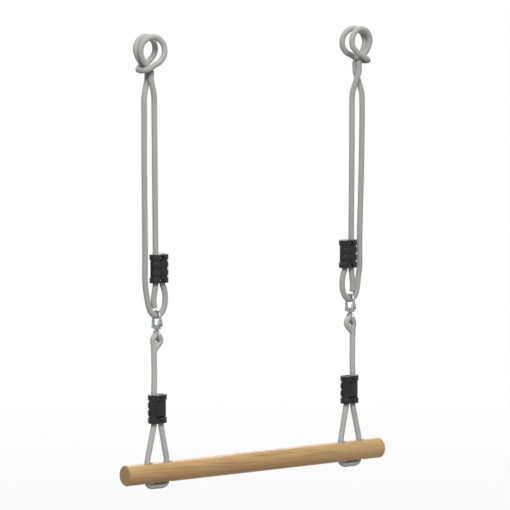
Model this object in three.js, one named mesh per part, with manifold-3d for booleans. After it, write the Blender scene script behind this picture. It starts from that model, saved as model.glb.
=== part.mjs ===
// Trapeze bar hung on two ropes from a climbing frame.
// Each rope is a sling hitched round a rung, a rope clamp, a swivel snap hook,
// and a lower rope that is clamped to a loop through the wooden bar.
// Millimetres, +X along the bar, +Z up, origin midway between the two rung seats.
import * as THREE from 'three';
import Module from 'manifold-3d';
import { mergeVertices } from 'three/addons/utils/BufferGeometryUtils.js';

const wasm = await Module();
wasm.setup();

// Driving dimensions
const ropeSpacing = 420;
const barOverhang = 67.5;
const barRadius = 18;
const rungRadius = 17;
const ropeRadius = 5;
const hitchOutset = 14.5;
const upperClampInset = 5;
const lowerClampInset = 1;
const loopHoleSpacing = 41;
const slingFall = 351;
const bightFall = 57;
const lowerFall = 95.1;
const legFall = 68;

// Running and seating gaps, and how far a cut runs past the face it leaves
const seatGap = 0.3;
const overrun = 2;

// Clamp
const clampHeight = 49.5;
const boreSpacing = 14;
const coreRadius = 9.2;
const ribRadius = 10.7;
const ribHeight = 9.4;
const ribBevel = 0.7;
const ribCount = 4;
const panelWidth = 17;
const panelHeight = 25;
const panelProud = 1;
const panelBevel = 0.6;
const clampScrewInset = 5.2;
const screwRadius = 1.5;
const screwHeadRadius = 3;
const screwHeadHeight = 2.2;
const screwHeadInset = 3.4;
const screwLength = 10;
const ropeEndInset = 6.5;

// Hitch round the rung
const rungEase = 0.7;
const strandLane = 5.6;
const wrapLane = 16.6;
const wrapStart = -35;
const wrapEnd = 242;
const wrapSteps = 6;
const flexDrop = 50;
const flexRadius = 12.5;
const strandSpread = 10.5;
const twistLength = 42;
const hitchStubRise = 5;
const twistShares = [[0.12, 0.96, 0.14], [0.58, 0.7, 0.5], [0.94, 0.2, 0.86]];
const bridgePoints = [
  [1, 16.6, -25.5],
  [7.2, 16.5, -29.4],
  [12.7, 13.7, -32.7],
  [16.4, 7.4, -34.1],
  [17.3, 0, -34.6],
];

// Bight under the upper clamp and the free tail beside it
const outerStrandReach = 27.5;
const outerStrandBack = 2;
const strandFallShares = [[0.3, 0.3], [0.65, 0.65], [0.93, 0.93]];
const boreLean = 0.6;
const bightPoints = [
  [20.4, 2.2, 42],
  [18, 1.8, 28],
  [15.2, 1, 15],
  [11.2, 0.3, 6.4],
  [6, 0, 1.8],
  [0, 0, 0],
  [-6, 0, 1.8],
  [-11.6, 0, 6.6],
  [-15.9, 0, 15.2],
  [-17.9, 0, 27],
  [-17.2, 0, 39],
  [-14.6, 0, 48.5],
];
const tailPoints = [
  [0.6, 0, -6],
  [2.2, 0.2, -16],
  [3.7, 0.4, -26],
  [3.8, 0.3, -34],
  [2.4, 0, -42],
];

// Snap hook, its gate and its swivel eye
const wireRadius = 2.5;
const bowHalfWidth = 10.4;
const bowEase = 0.2;
const noseDrop = 6;
const noseCutAngle = 40;
const baseDrop = 16.8;
const baseHeight = 5.4;
const baseRadius = 5.7;
const armRadius = 3.2;
const armBevel = 0.6;
const lugHalfWidth = 1.2;
const lugRadius = 2.7;
const lugWebShare = 0.6;
const gateInset = 0.6;
const gatePivotRise = 1.3;
const gateHalfWidth = 4;
const gateSheet = 0.75;
const gateOuter = 2.6;
const gateInner = 1.6;
const gateEndRadius = 2.5;
const rivetRadius = 1;
const rivetHeadRadius = 1.9;
const rivetHeadHeight = 0.8;
const rivetClearance = 0.2;
const springWireRadius = 0.2;
const springCoilRadius = 1.42;
const springPitch = 0.82;
const springTurns = 1.5;
const springArm = 5;
const shankRadius = 2.4;
const swivelHeadRadius = 4.2;
const swivelHeadHeight = 2.4;
const collarRadius = 3.8;
const collarHeight = 1.6;
const ringWireRadius = 2.25;
const ringMeanRadius = 7.9;
const ringSink = 1;

// Shares of a head's radius and height, from its crown to its rim
const headShares = [[0.7, 1], [1, 0.5], [1, 0]];

// Lower rope
const eyeEase = 0.2;
const eyeReturnShares = [[-0.85, 0.25], [-0.18, 0.52], [0.46, 0.79], [0.76, 1]];
const spliceDrop = 21;
const lowerFallShares = [[0.75, 0.12], [1.3, 0.4], [1.4, 0.7], [1.1, 0.93]];
const legMidShares = [[0.5, 0.5]];
const bendRadius = 9.3;

// Bar
const barEdgeRadius = 3;
const holeRadius = 5.7;
const countersinkDepth = 4.5;

// Faceting
const ropeSides = 8;
const roundSides = 22;
const boreSides = 12;
const smallSides = 8;
const wireSides = 8;
const springSides = 5;
const springSteps = 8;
const flexSides = 48;
const lobeSegments = 6;
const armSegments = 6;
const gateSegments = 8;
const bowSteps = 6;
const barEdgeSteps = 3;
const stepsPerSpan = 2;
const gapSamples = 600;

const hookX = ropeSpacing / 2;
const barLength = ropeSpacing + 2 * barOverhang;
const hitchX = hookX + hitchOutset;
const upperClampX = hookX - upperClampInset;
const lowerClampX = hookX - lowerClampInset;
const boreOffset = boreSpacing / 2;
const boreRadius = ropeRadius + seatGap;
const clampTopZ = -slingFall;
const clampBottomZ = clampTopZ - clampHeight;
const biteZ = clampBottomZ - bightFall;
const crownZ = ropeRadius + seatGap + bowEase + wireRadius;
const baseTopZ = -baseDrop;
const baseBottomZ = baseTopZ - baseHeight;
const gatePivotY = gateInset - bowHalfWidth;
const gatePivotZ = baseTopZ + gatePivotRise;
const ringZ = baseBottomZ - seatGap - collarHeight + ringSink - ringWireRadius - ringMeanRadius;
const ringBottomZ = biteZ + ringZ - ringMeanRadius;
const eyeRadius = ringWireRadius + seatGap + eyeEase + ropeRadius;
const lowerClampTopZ = ringBottomZ - lowerFall;
const lowerClampBottomZ = lowerClampTopZ - clampHeight;
const barZ = lowerClampBottomZ - legFall - barRadius;
const flexZ = -flexDrop;

function solidOf(geometry) {
  const bare = geometry.index ? geometry.toNonIndexed() : geometry.clone();
  bare.deleteAttribute('normal');
  bare.deleteAttribute('uv');
  const merged = mergeVertices(bare);
  return new wasm.Manifold(new wasm.Mesh({
    numProp: 3,
    vertProperties: new Float32Array(merged.attributes.position.array),
    triVerts: new Uint32Array(merged.index.array),
  }));
}

function geometryOf(solid) {
  const mesh = solid.getMesh();
  const geometry = new THREE.BufferGeometry();
  geometry.setAttribute('position', new THREE.BufferAttribute(new Float32Array(mesh.vertProperties), 3));
  geometry.setIndex(new THREE.BufferAttribute(new Uint32Array(mesh.triVerts), 1));
  geometry.computeVertexNormals();
  return geometry;
}

function box(low, high) {
  const size = high.map((value, i) => value - low[i]);
  const middle = high.map((value, i) => (value + low[i]) / 2);
  return solidOf(new THREE.BoxGeometry(...size).translate(...middle));
}

// A round bar from one end to the other along an axis, with its own end radii
function rod(axis, radius, from, to, sides, endRadius = radius) {
  const geometry = new THREE.CylinderGeometry(endRadius, radius, to - from, sides);
  geometry.translate(0, (from + to) / 2, 0);
  if (axis === 'x') {
    geometry.rotateZ(-Math.PI / 2);
  }
  if (axis === 'z') {
    geometry.rotateX(Math.PI / 2);
  }
  return geometry;
}

function circleShape(radius, sides) {
  const points = [];
  for (let i = 0; i < sides; i += 1) {
    const angle = (2 * Math.PI * i) / sides;
    points.push(new THREE.Vector2(radius * Math.cos(angle), radius * Math.sin(angle)));
  }
  return new THREE.Shape(points);
}

// A smooth route whose steps lie closer together where its points do, at the bends
class RoutedCurve extends THREE.CatmullRomCurve3 {
  getPointAt(share, target) {
    return this.getPoint(share, target);
  }

  getTangentAt(share, target) {
    return this.getTangent(share, target);
  }
}

function route(points) {
  return new RoutedCurve(points.map((point) => new THREE.Vector3(...point)));
}

function tube(points, radius, sides, steps = (points.length - 1) * stepsPerSpan) {
  return new THREE.ExtrudeGeometry(circleShape(radius, sides), {
    steps,
    bevelEnabled: false,
    extrudePath: route(points),
  });
}

// Least clear distance of a round rope to itself, between places two diameters or more apart along it
function selfGap(points, radius) {
  const path = route(points);
  const places = [];
  const runs = [];
  let least = Infinity;
  for (let i = 0; i <= gapSamples; i += 1) {
    places.push(path.getPoint(i / gapSamples));
    runs.push(i === 0 ? 0 : runs[i - 1] + places[i].distanceTo(places[i - 1]));
    for (let j = 0; j < i; j += 1) {
      if (runs[i] - runs[j] > 4 * radius) {
        least = Math.min(least, places[i].distanceTo(places[j]) - 2 * radius);
      }
    }
  }
  return least;
}

function mirrored(points, side) {
  return points.map(([x, y, z]) => [side * x, y, z]);
}

// Points in the XZ plane at shares of the way from one place to another
function between([x0, z0], [x1, z1], shares) {
  return shares.map(([across, down]) => [x0 + (x1 - x0) * across, 0, z0 + (z1 - z0) * down]);
}

// Route of the rope hitched round the rung: up from one strand, over the rung, across
// under it, and back the same way on the other strand
function hitchPoints() {
  const wrapRadius = rungRadius + rungEase + ropeRadius;
  const half = [
    [hitchX, strandLane, flexZ + hitchStubRise],
    [hitchX, strandLane, flexZ + flexRadius],
  ];
  for (let i = 0; i <= wrapSteps; i += 1) {
    const share = i / wrapSteps;
    const angle = THREE.MathUtils.degToRad(wrapStart + (wrapEnd - wrapStart) * share);
    const lane = strandLane + (wrapLane - strandLane) * share;
    half.push([hitchX + wrapRadius * Math.cos(angle), lane, wrapRadius * Math.sin(angle)]);
  }
  for (const [x, y, z] of bridgePoints) {
    half.push([hitchX + x, y, z]);
  }
  const back = half.slice(0, -1).reverse().map(([x, y, z]) => [x, -y, z]);
  return [...half, ...back];
}

// Both ends of the hitch stop at the hinge line where the strands flex
function hitch(side) {
  const rope = solidOf(tube(mirrored(hitchPoints(), side), ropeRadius, ropeSides));
  return geometryOf(rope.subtract(flexDrum(flexRadius + seatGap)));
}

const strandReach = hitchX + strandSpread + ropeRadius + overrun;
const strandDepth = wrapLane + ropeRadius + overrun;

// Drum about the hinge line where the strands flex under the hitch
function flexDrum(radius) {
  const drum = rod('x', radius, -strandReach, strandReach, flexSides);
  return solidOf(drum.translate(0, 0, flexZ));
}

// A strand starts at the hinge line with an end rounded about that line
function strand(points, side) {
  const rope = solidOf(tube(mirrored(points, side), ropeRadius, ropeSides));
  const below = box([-strandReach, -strandDepth, ringBottomZ], [strandReach, strandDepth, flexZ]);
  return geometryOf(rope.intersect(below.add(flexDrum(flexRadius))));
}

// The two strands leave the hitch one behind the other and turn side by side
function strandHead(lane, spread) {
  const points = [[hitchX, lane, flexZ + flexRadius + overrun], [hitchX, lane, flexZ]];
  for (const [across, along, down] of twistShares) {
    points.push([hitchX + spread * across, lane * along, flexZ - twistLength * down]);
  }
  points.push([hitchX + spread, 0, flexZ - twistLength]);
  return points;
}

// Inner strand: hitch to clamp, through its outer bore, ending in the free tail
function innerStrand(side) {
  const boreX = upperClampX + boreOffset;
  const head = [hitchX - strandSpread, flexZ - twistLength];
  return strand([
    ...strandHead(-strandLane, -strandSpread),
    ...between(head, [boreX, clampTopZ], strandFallShares),
    [boreX, 0, clampTopZ],
    [boreX, 0, (clampTopZ + clampBottomZ) / 2],
    [boreX, 0, clampBottomZ],
    ...tailPoints.map(([x, y, z]) => [boreX + x, y, clampBottomZ + z]),
  ], side);
}

// Outer strand: hitch to the bight in the hook, then up into the clamp's inner bore
function outerStrand(side) {
  const boreX = upperClampX - boreOffset;
  const outerX = upperClampX + outerStrandReach;
  return strand([
    ...strandHead(strandLane, strandSpread),
    [hitchX + strandSpread, 0, (flexZ + clampTopZ) / 2],
    [outerX, outerStrandBack, clampTopZ],
    [outerX, outerStrandBack, clampBottomZ],
    ...bightPoints.map(([x, y, z]) => [hookX + x, y, biteZ + z]),
    [boreX - boreLean, 0, clampBottomZ - ropeRadius],
    [boreX, 0, clampBottomZ],
    [boreX, 0, (clampTopZ + clampBottomZ) / 2],
    [boreX, 0, clampTopZ - ropeEndInset],
  ], side);
}

// Half of the eye over the lower wire of the swivel ring, from its crown to one side
function eyeHalf(sign, start) {
  const shoulder = eyeRadius * Math.SQRT1_2;
  return [
    [hookX + start, 0, ringBottomZ + eyeRadius],
    [hookX + sign * shoulder, 0, ringBottomZ + shoulder],
    [hookX + sign * eyeRadius, 0, ringBottomZ],
  ];
}

// Loop from the clamp down through one hole of the bar, under it and up through the other
function barLoop(inBore, outBore) {
  const innerX = hookX - loopHoleSpacing / 2;
  const outerX = hookX + loopHoleSpacing / 2;
  const runZ = barZ - barRadius - seatGap - ropeRadius;
  const bendZ = runZ + bendRadius;
  const bend = bendRadius * Math.SQRT1_2;
  const mouthZ = barZ + barRadius;
  return [
    [outBore + boreLean, 0, lowerClampBottomZ - ropeRadius],
    ...between([outBore, lowerClampBottomZ], [outerX, mouthZ], legMidShares),
    [outerX - boreLean, 0, mouthZ + ropeRadius],
    [outerX, 0, mouthZ - ropeRadius],
    [outerX, 0, barZ],
    [outerX, 0, bendZ],
    [outerX - bendRadius + bend, 0, bendZ - bend],
    [outerX - bendRadius, 0, runZ],
    [hookX, 0, runZ],
    [innerX + bendRadius, 0, runZ],
    [innerX + bendRadius - bend, 0, bendZ - bend],
    [innerX, 0, bendZ],
    [innerX, 0, barZ],
    [innerX, 0, mouthZ - ropeRadius],
    [innerX + boreLean, 0, mouthZ + ropeRadius],
    ...between([inBore, lowerClampBottomZ], [innerX, mouthZ], legMidShares),
    [inBore - boreLean, 0, lowerClampBottomZ - ropeRadius],
  ];
}

// Lower rope: spliced eye in the swivel ring, clamp, loop through the bar, back into the clamp
function lowerRope(side) {
  const inBore = lowerClampX - boreOffset;
  const outBore = lowerClampX + boreOffset;
  const clampMiddleZ = (lowerClampTopZ + lowerClampBottomZ) / 2;
  const main = [
    ...eyeHalf(1, 0),
    ...between([hookX + eyeRadius, ringBottomZ], [outBore, lowerClampTopZ], lowerFallShares),
    [outBore, 0, lowerClampTopZ],
    [outBore, 0, clampMiddleZ],
    [outBore, 0, lowerClampBottomZ],
    ...barLoop(inBore, outBore),
    [inBore, 0, lowerClampBottomZ],
    [inBore, 0, clampMiddleZ],
    [inBore, 0, lowerClampTopZ - ropeEndInset],
  ];
  const rope = solidOf(tube(mirrored(main, side), ropeRadius, ropeSides));
  const back = [
    ...eyeHalf(-1, seatGap),
    ...eyeReturnShares.map(([across, down]) => (
      [hookX + eyeRadius * across, 0, ringBottomZ - spliceDrop * down]
    )),
  ];
  const eye = solidOf(tube(mirrored(back, side), ropeRadius, ropeSides));
  return geometryOf(rope.add(eye));
}

// Outline of two round lobes that meet in a waist
function lobes(radius) {
  const shape = new THREE.Shape();
  const waist = Math.PI - Math.acos(boreOffset / radius);
  shape.absarc(boreOffset, 0, radius, -waist, waist, false);
  shape.absarc(-boreOffset, 0, radius, Math.PI - waist, Math.PI + waist, false);
  return shape;
}

function lobeBand(radius, low, high, bevel) {
  const band = new THREE.ExtrudeGeometry(lobes(radius - bevel), {
    depth: high - low - 2 * bevel,
    curveSegments: lobeSegments,
    bevelEnabled: bevel > 0,
    bevelThickness: bevel,
    bevelSize: bevel,
    bevelSegments: 1,
  });
  return solidOf(band.translate(0, 0, low + bevel));
}

// One half of a rope clamp, facing -Y, about the middle of the clamp.
// The ribbed half carries its ribs round the outside, the plain half a raised panel.
function clampHalf(ribbed, tapped) {
  const half = clampHeight / 2;
  let solid = lobeBand(coreRadius, -half + ribBevel, half - ribBevel, 0);
  const ribPitch = (clampHeight - ribHeight) / (ribCount - 1);
  for (let i = 0; i < ribCount; i += 1) {
    const low = -half + ribPitch * i;
    if (ribbed || i === 0 || i === ribCount - 1) {
      solid = solid.add(lobeBand(ribRadius, low, low + ribHeight, ribBevel));
    }
  }
  if (!ribbed) {
    const outline = new THREE.Shape();
    outline.moveTo(-panelWidth / 2, -panelHeight / 2);
    outline.lineTo(panelWidth / 2, -panelHeight / 2);
    outline.lineTo(panelWidth / 2, panelHeight / 2);
    outline.lineTo(-panelWidth / 2, panelHeight / 2);
    const panel = new THREE.ExtrudeGeometry(outline, {
      depth: coreRadius - panelBevel,
      bevelThickness: panelBevel,
      bevelSize: panelBevel,
      bevelSegments: 1,
    });
    panel.translate(0, 0, panelProud);
    solid = solid.add(solidOf(panel.rotateX(Math.PI / 2)));
  }
  for (const side of [-1, 1]) {
    const bore = rod('z', boreRadius, -half - overrun, half + overrun, boreSides);
    solid = solid.subtract(solidOf(bore.translate(side * boreOffset, 0, 0)));
    const screwZ = side * (half - clampScrewInset);
    const shaft = rod('y', screwRadius + seatGap, -screwLength, overrun, smallSides);
    solid = solid.subtract(solidOf(shaft.translate(0, 0, screwZ)));
    if (!tapped) {
      const seat = rod('y', screwHeadRadius + seatGap * 2, -ribRadius - overrun, -screwHeadInset, smallSides);
      solid = solid.subtract(solidOf(seat.translate(0, 0, screwZ)));
    }
  }
  const reach = ribRadius + boreOffset + overrun;
  const faceY = -seatGap / 2;
  return geometryOf(solid.intersect(box([-reach, -reach, -half], [reach, faceY, half])));
}

// Profile of a domed head from its crown to its rim, which stands on the given height
function headProfile(radius, height, rim) {
  return [[0, rim + height], ...headShares.map(([out, up]) => [radius * out, rim + height * up])];
}

// Solid turned about Z from a profile of radii and heights, listed from its top down
function turned(profile, sides) {
  const points = profile.map(([radius, height]) => new THREE.Vector2(radius, height)).reverse();
  return new THREE.LatheGeometry(points, sides).rotateX(Math.PI / 2);
}

// Domed screw along Y, head towards -Y, under-head face at the clamp's seat
function clampScrew() {
  const screw = turned([
    ...headProfile(screwHeadRadius, screwHeadHeight, screwHeadInset + seatGap),
    [screwRadius, screwHeadInset + seatGap],
    [screwRadius, screwHeadInset + seatGap - screwLength + screwRadius],
    [0, screwHeadInset + seatGap - screwLength],
  ], smallSides);
  return screw.rotateX(Math.PI / 2);
}

// Snap hook body about the rope that it hangs on: bow in the YZ plane, base with the
// swivel's bore, and the lug that carries the gate
function hookBody() {
  const arcZ = crownZ - bowHalfWidth;
  const bowPoints = [
    [0, bowHalfWidth, baseBottomZ + armRadius],
    [0, bowHalfWidth, (baseTopZ + arcZ) / 2],
  ];
  for (let i = 0; i <= bowSteps; i += 1) {
    const angle = (Math.PI * i) / bowSteps;
    bowPoints.push([0, bowHalfWidth * Math.cos(angle), arcZ + bowHalfWidth * Math.sin(angle)]);
  }
  bowPoints.push([0, -bowHalfWidth, -noseDrop - wireRadius]);
  let solid = solidOf(tube(bowPoints, wireRadius, wireSides));
  const nose = box([-wireRadius * 2, -wireRadius * 2, 0], [wireRadius * 2, wireRadius * 2, -baseTopZ]);
  const cut = nose.translate([0, 0, baseTopZ]).rotate([noseCutAngle, 0, 0]);
  solid = solid.subtract(cut.translate([0, -bowHalfWidth, -noseDrop]));
  const arm = new THREE.Shape();
  arm.absarc(0, bowHalfWidth, armRadius - armBevel, 0, Math.PI, false);
  arm.absarc(0, gatePivotY + lugRadius, armRadius - armBevel, Math.PI, 2 * Math.PI, false);
  const armGeometry = new THREE.ExtrudeGeometry(arm, {
    depth: baseHeight - 2 * armBevel,
    curveSegments: armSegments,
    bevelThickness: armBevel,
    bevelSize: armBevel,
    bevelSegments: 1,
  });
  solid = solid.add(solidOf(armGeometry.translate(0, 0, baseBottomZ + armBevel)));
  solid = solid.add(solidOf(rod('z', baseRadius, baseBottomZ, baseTopZ, boreSides)));
  const lug = rod('x', lugRadius, -lugHalfWidth, lugHalfWidth, boreSides);
  solid = solid.add(solidOf(lug.translate(0, gatePivotY, gatePivotZ)));
  const webLow = [-lugHalfWidth, gatePivotY - lugRadius * lugWebShare, baseBottomZ + armBevel];
  const webHigh = [lugHalfWidth, gatePivotY + lugRadius, gatePivotZ];
  solid = solid.add(box(webLow, webHigh));
  const pivot = rod('x', rivetRadius + rivetClearance, -lugHalfWidth * 2, lugHalfWidth * 2, smallSides);
  solid = solid.subtract(solidOf(pivot.translate(0, gatePivotY, gatePivotZ)));
  const bore = rod('z', shankRadius + seatGap, baseBottomZ - overrun, baseTopZ + overrun, boreSides);
  return geometryOf(solid.subtract(solidOf(bore)));
}

// Folded gate about its rivet: a channel whose web faces out and whose cheeks straddle the lug
function gate() {
  const rise = -noseDrop - gatePivotZ;
  const outline = new THREE.Shape();
  outline.absarc(0, 0, gateEndRadius, Math.PI, 2 * Math.PI, false);
  outline.lineTo(gateInner, rise - gateInner);
  outline.lineTo(0, rise);
  outline.lineTo(-gateOuter + gateSheet, rise - gateInner);
  outline.lineTo(-gateOuter, rise - gateOuter);
  const block = new THREE.ExtrudeGeometry(outline, {
    depth: 2 * gateHalfWidth,
    curveSegments: gateSegments,
    bevelEnabled: false,
  });
  block.translate(0, 0, -gateHalfWidth);
  block.rotateY(Math.PI / 2);
  block.rotateX(Math.PI / 2);
  const inner = gateHalfWidth - gateSheet;
  const below = -gateEndRadius - overrun;
  const hollow = box([-inner, gateSheet - gateOuter, below], [inner, gateInner + overrun, rise - gateOuter]);
  const heel = box([-inner, below, below], [inner, -below, gateEndRadius + seatGap]);
  const pivotReach = gateHalfWidth + overrun;
  const pivot = rod('x', rivetRadius + rivetClearance, -pivotReach, pivotReach, smallSides);
  return geometryOf(solidOf(block).subtract(hollow).subtract(heel).subtract(solidOf(pivot)));
}

function gateRivet() {
  const half = gateHalfWidth + rivetClearance;
  const head = headProfile(rivetHeadRadius, rivetHeadHeight, half);
  const foot = head.map(([radius, height]) => [radius, -height]).reverse();
  const rivet = turned([...head, [rivetRadius, half], [rivetRadius, -half], ...foot], smallSides);
  return rivet.rotateY(Math.PI / 2);
}

// Wire spring coiled on the rivet beside the lug, with an arm up the gate
function gateSpring() {
  const start = lugHalfWidth + springWireRadius + seatGap;
  const points = [];
  for (let i = 0; i <= springTurns * springSteps; i += 1) {
    const angle = (2 * Math.PI * i) / springSteps;
    const x = start + (springPitch * i) / springSteps;
    points.push([x, springCoilRadius * Math.cos(angle), springCoilRadius * Math.sin(angle)]);
  }
  const end = start + springPitch * springTurns;
  points.push([end, -springCoilRadius, springArm / 2], [end, -springCoilRadius, springArm]);
  return tube(points, springWireRadius, springSides, points.length - 1);
}

// Swivel eye: riveted head, shank and collar turned in one with the ring
function swivelEye() {
  const headZ = baseTopZ + seatGap;
  const collarZ = baseBottomZ - seatGap;
  const collar = headProfile(collarRadius, collarHeight, 0).reverse();
  const stem = turned([
    ...headProfile(swivelHeadRadius, swivelHeadHeight, headZ),
    [shankRadius, headZ],
    [shankRadius, collarZ],
    ...collar.map(([radius, height]) => [radius, collarZ - height]),
  ], boreSides);
  const ring = new THREE.TorusGeometry(ringMeanRadius, ringWireRadius, wireSides, roundSides);
  ring.rotateY(Math.PI / 2);
  ring.translate(0, 0, ringZ);
  return geometryOf(solidOf(stem).add(solidOf(ring)));
}

// Wooden bar with rounded ends and four countersunk rope holes
function woodenBar() {
  const half = barLength / 2;
  const profile = [new THREE.Vector2(0, -half)];
  for (let i = 0; i <= barEdgeSteps; i += 1) {
    const angle = (Math.PI * i) / (2 * barEdgeSteps);
    const radius = barRadius - barEdgeRadius + barEdgeRadius * Math.sin(angle);
    profile.push(new THREE.Vector2(radius, -half + barEdgeRadius - barEdgeRadius * Math.cos(angle)));
  }
  const far = profile.slice().reverse().map((point) => new THREE.Vector2(point.x, -point.y));
  const bar = new THREE.LatheGeometry([...profile, ...far], roundSides);
  let solid = solidOf(bar.rotateZ(-Math.PI / 2));
  for (const side of [-1, 1]) {
    for (const hole of [-1, 1]) {
      const x = side * (hookX + (hole * loopHoleSpacing) / 2);
      const low = barRadius - countersinkDepth;
      const high = barRadius + overrun;
      const mouthRadius = holeRadius + countersinkDepth + overrun;
      const drill = rod('z', holeRadius, -high, high, boreSides);
      const top = rod('z', holeRadius, low, high, boreSides, mouthRadius);
      const bottom = rod('z', mouthRadius, -high, -low, boreSides, holeRadius);
      for (const cutter of [drill, top, bottom]) {
        solid = solid.subtract(solidOf(cutter.translate(x, 0, 0)));
      }
    }
  }
  return geometryOf(solid);
}

function finish(color, roughness, metalness) {
  return () => new THREE.MeshStandardMaterial({ color, roughness, metalness });
}

const ropeMaterial = finish(0xb9b9b6, 0.85, 0);
const plasticMaterial = finish(0x222222, 0.5, 0);
const steelMaterial = finish(0x9a9c9e, 0.35, 1);
const woodMaterial = finish(0xc9a47a, 0.55, 0);

const trapeze = new THREE.Group();

function place(parent, name, geometry, material, x, y, z) {
  const mesh = new THREE.Mesh(geometry, material);
  mesh.name = name;
  mesh.position.set(x, y, z);
  parent.add(mesh);
  return mesh;
}

// Clamp of two halves and two screws, with its ribbed half towards the front or the back
function placeClamp(name, x, z, ribsInFront) {
  const clamp = new THREE.Group();
  clamp.position.set(x, 0, z - clampHeight / 2);
  clamp.rotation.z = ribsInFront ? 0 : Math.PI;
  place(clamp, `${name}_ribbed_half`, clampHalf(true, false), plasticMaterial(), 0, 0, 0);
  const plain = place(clamp, `${name}_plain_half`, clampHalf(false, true), plasticMaterial(), 0, 0, 0);
  plain.rotation.z = Math.PI;
  const reach = clampHeight / 2 - clampScrewInset;
  place(clamp, `${name}_screw_top`, clampScrew(), steelMaterial(), 0, 0, reach);
  place(clamp, `${name}_screw_bottom`, clampScrew(), steelMaterial(), 0, 0, -reach);
  trapeze.add(clamp);
}

place(trapeze, 'trapeze_bar', woodenBar(), woodMaterial(), 0, 0, barZ);
for (const [label, side] of [['left', -1], ['right', 1]]) {
  place(trapeze, `rung_hitch_${label}`, hitch(side), ropeMaterial(), 0, 0, 0);
  place(trapeze, `sling_inner_strand_${label}`, innerStrand(side), ropeMaterial(), 0, 0, 0);
  place(trapeze, `sling_outer_strand_${label}`, outerStrand(side), ropeMaterial(), 0, 0, 0);
  place(trapeze, `lower_rope_${label}`, lowerRope(side), ropeMaterial(), 0, 0, 0);
  placeClamp(`upper_clamp_${label}`, side * upperClampX, clampTopZ, true);
  placeClamp(`lower_clamp_${label}`, side * lowerClampX, lowerClampTopZ, false);
  const hook = new THREE.Group();
  hook.position.set(side * hookX, 0, biteZ);
  place(hook, `snap_hook_${label}`, hookBody(), steelMaterial(), 0, 0, 0);
  place(hook, `swivel_eye_${label}`, swivelEye(), steelMaterial(), 0, 0, 0);
  place(hook, `hook_gate_${label}`, gate(), steelMaterial(), 0, gatePivotY, gatePivotZ);
  place(hook, `gate_rivet_${label}`, gateRivet(), steelMaterial(), 0, gatePivotY, gatePivotZ);
  place(hook, `gate_spring_${label}`, gateSpring(), steelMaterial(), 0, gatePivotY, gatePivotZ);
  trapeze.add(hook);
}

console.log(`least gap of a hitch to itself: ${selfGap(hitchPoints(), ropeRadius).toFixed(2)} mm`);

export default trapeze;
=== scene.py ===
# Trapeze bar on two ropes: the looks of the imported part, in metres in the part's frame.
import math

import bmesh
import bpy
import numpy as np
from mathutils import Matrix, Vector


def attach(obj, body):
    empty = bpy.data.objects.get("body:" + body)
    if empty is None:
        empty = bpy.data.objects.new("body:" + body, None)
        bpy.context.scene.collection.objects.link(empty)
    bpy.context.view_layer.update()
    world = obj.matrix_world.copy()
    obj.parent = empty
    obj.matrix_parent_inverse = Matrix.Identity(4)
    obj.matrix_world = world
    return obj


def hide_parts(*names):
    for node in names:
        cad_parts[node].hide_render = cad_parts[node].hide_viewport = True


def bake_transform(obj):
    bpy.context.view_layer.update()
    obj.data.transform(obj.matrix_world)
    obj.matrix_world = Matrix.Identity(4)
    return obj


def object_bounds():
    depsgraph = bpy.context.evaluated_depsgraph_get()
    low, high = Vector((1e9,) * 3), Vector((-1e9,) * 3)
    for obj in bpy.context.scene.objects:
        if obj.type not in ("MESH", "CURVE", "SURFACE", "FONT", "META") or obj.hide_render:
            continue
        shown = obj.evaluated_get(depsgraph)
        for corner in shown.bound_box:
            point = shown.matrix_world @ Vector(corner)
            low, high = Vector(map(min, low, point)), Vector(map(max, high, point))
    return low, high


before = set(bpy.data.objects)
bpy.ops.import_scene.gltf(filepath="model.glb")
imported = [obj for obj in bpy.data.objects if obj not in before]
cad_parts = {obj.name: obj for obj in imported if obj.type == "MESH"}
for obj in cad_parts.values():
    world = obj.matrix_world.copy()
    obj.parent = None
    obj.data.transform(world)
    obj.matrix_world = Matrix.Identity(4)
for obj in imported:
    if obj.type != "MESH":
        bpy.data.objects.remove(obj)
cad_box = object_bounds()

MM = 0.001
SIDES = (("left", -1), ("right", 1))

# Sizes of the part, in millimetres
ROPE_RADIUS = 5.0
HITCH_X = 224.5
HOOK_X = 210.0
UPPER_CLAMP_X = 205.0
LOWER_CLAMP_X = 209.0
BORE_OFFSET = 7.0
CLAMP_HEIGHT = 49.5
CLAMP_TOP_Z = -351.0
CLAMP_BOTTOM_Z = CLAMP_TOP_Z - CLAMP_HEIGHT
BITE_Z = -457.5
RING_BOTTOM_Z = -498.65
LOWER_CLAMP_TOP_Z = -593.75
LOWER_CLAMP_BOTTOM_Z = LOWER_CLAMP_TOP_Z - CLAMP_HEIGHT
BAR_RADIUS = 18.0
BAR_LENGTH = 555.0
BAR_Z = -729.25
LOOP_HOLE_SPACING = 41.0
GAP = 0.3

# Camera at the place that the photograph was taken from, with the trapeze drawn larger
CAMERA_PLACE = Vector((-4.379, -5.928, 0.408))
PHOTO_FOCAL_PX = 1287.3
PHOTO_SIDE_PX = 510
ZOOM = 3.3
SENSOR = 36.0
CLIP_END = 200.0


def aimed(name, data, place, target):
    """Camera or lamp at a place, pointed at a target."""
    obj = new_object(name, data)
    obj.location = place
    obj.rotation_euler = (target - Vector(place)).to_track_quat("-Z", "Y").to_euler()
    return obj


def make_camera():
    """Camera at its place, aimed at the middle of the part."""
    low, high = cad_box
    data = bpy.data.cameras.new("camera")
    data.sensor_width = SENSOR
    data.lens = PHOTO_FOCAL_PX * ZOOM * SENSOR / PHOTO_SIDE_PX
    data.clip_end = CLIP_END
    bpy.context.scene.camera = aimed("camera", data, CAMERA_PLACE, (low + high) / 2)


# Meshes

# A profile point nearer than this is on the axis
ON_AXIS = 1e-6
SMOOTHING = 0.5


def new_object(name, data):
    """Object that holds a mesh, a camera or a light, in the scene."""
    obj = bpy.data.objects.new(name, data)
    bpy.context.scene.collection.objects.link(obj)
    return obj


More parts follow.
